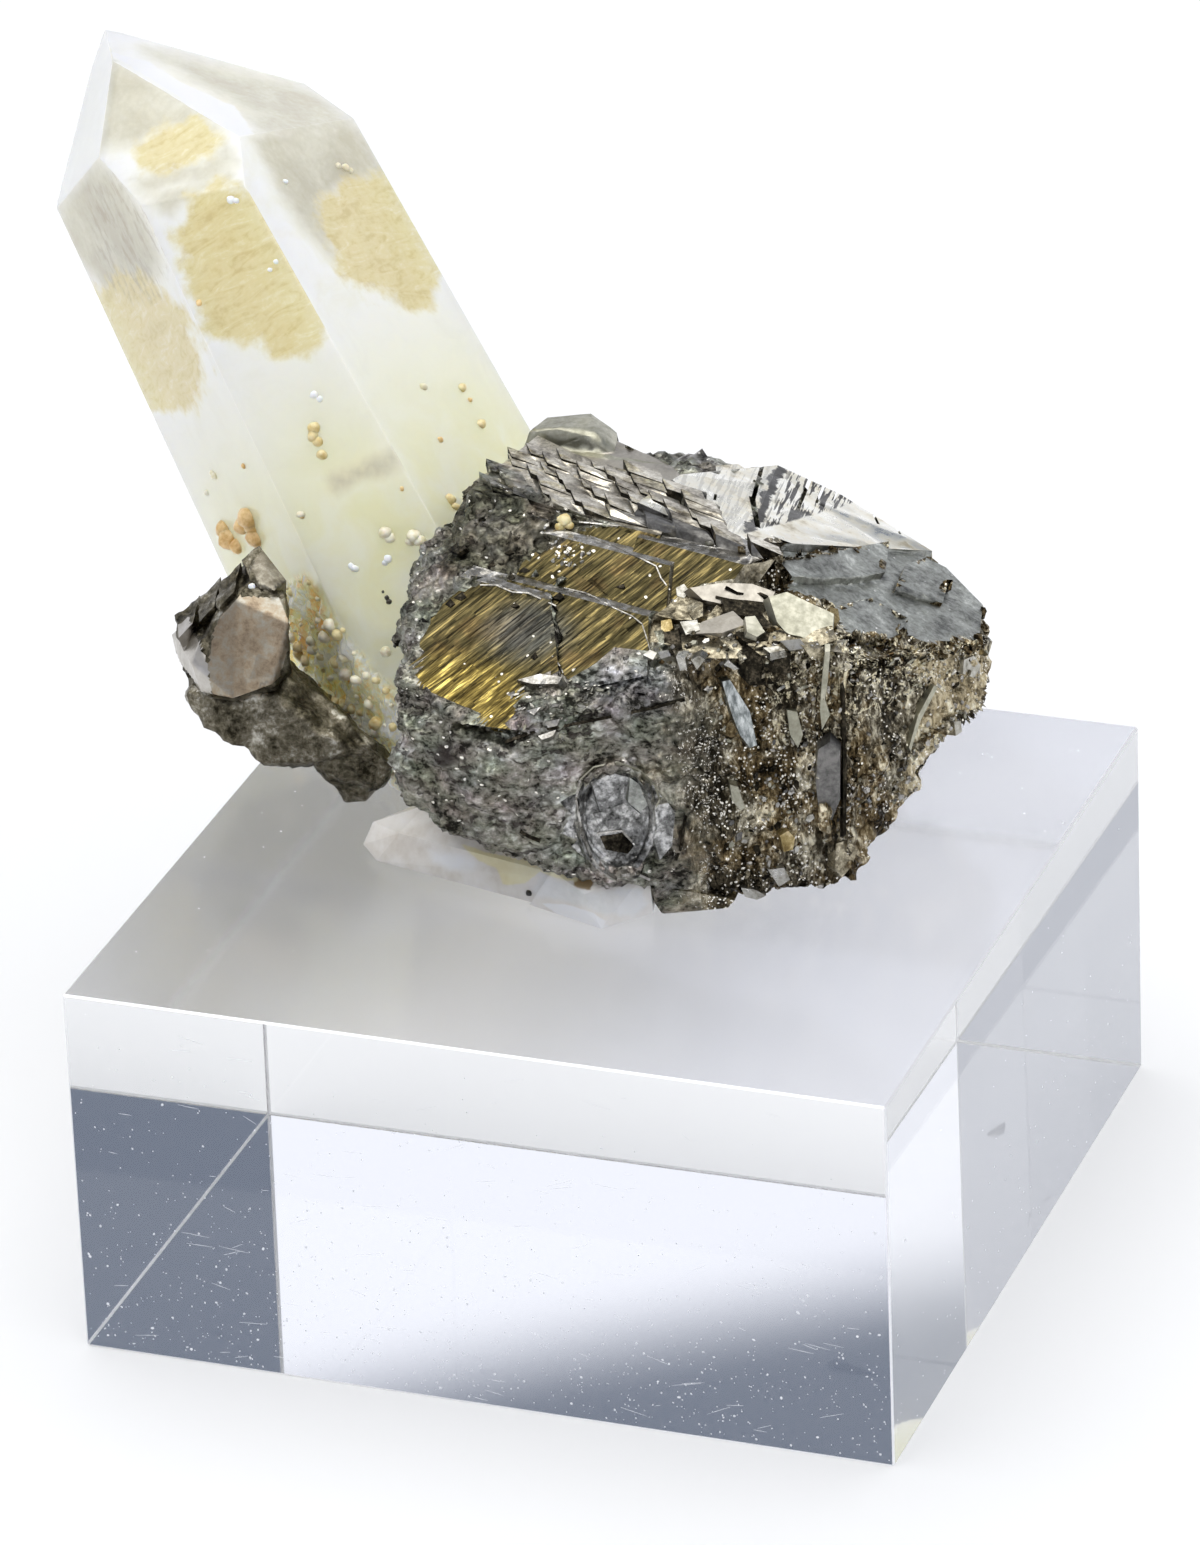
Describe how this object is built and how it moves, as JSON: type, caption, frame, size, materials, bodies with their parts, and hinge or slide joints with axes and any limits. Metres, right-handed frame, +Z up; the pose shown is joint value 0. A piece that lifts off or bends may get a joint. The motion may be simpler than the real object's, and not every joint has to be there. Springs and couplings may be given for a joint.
{
  "type": "pyrrhotite and quartz mineral specimen on clear block",
  "caption": "Dark bronze pyrrhotite crystal cluster grown over the foot of a leaning cloudy quartz point, standing on a square block of clear acrylic.",
  "frame": {"origin": "middle of the clear block's underside", "axes": "+Z up out of the block's top, -Y toward the front face of the block that the picture sees on the left, +X toward its right face"},
  "size_m": [0.0708, 0.0617, 0.0613],
  "materials": {
    "acrylic": "clear cast acrylic, polished faces and finely broken edges",
    "quartz": "cloudy natural quartz, glassy faces with yellow stain",
    "pyrrhotite": "natural metallic bronze and dark grey crystal faces, partly rough"
  },
  "bodies": {
    "root": {"acrylic_block": "acrylic", "quartz_point": "quartz", "quartz_base": "quartz", "pyrrhotite_cluster": "pyrrhotite", "pyrrhotite_side": "pyrrhotite"}
  },
  "joints": []
}
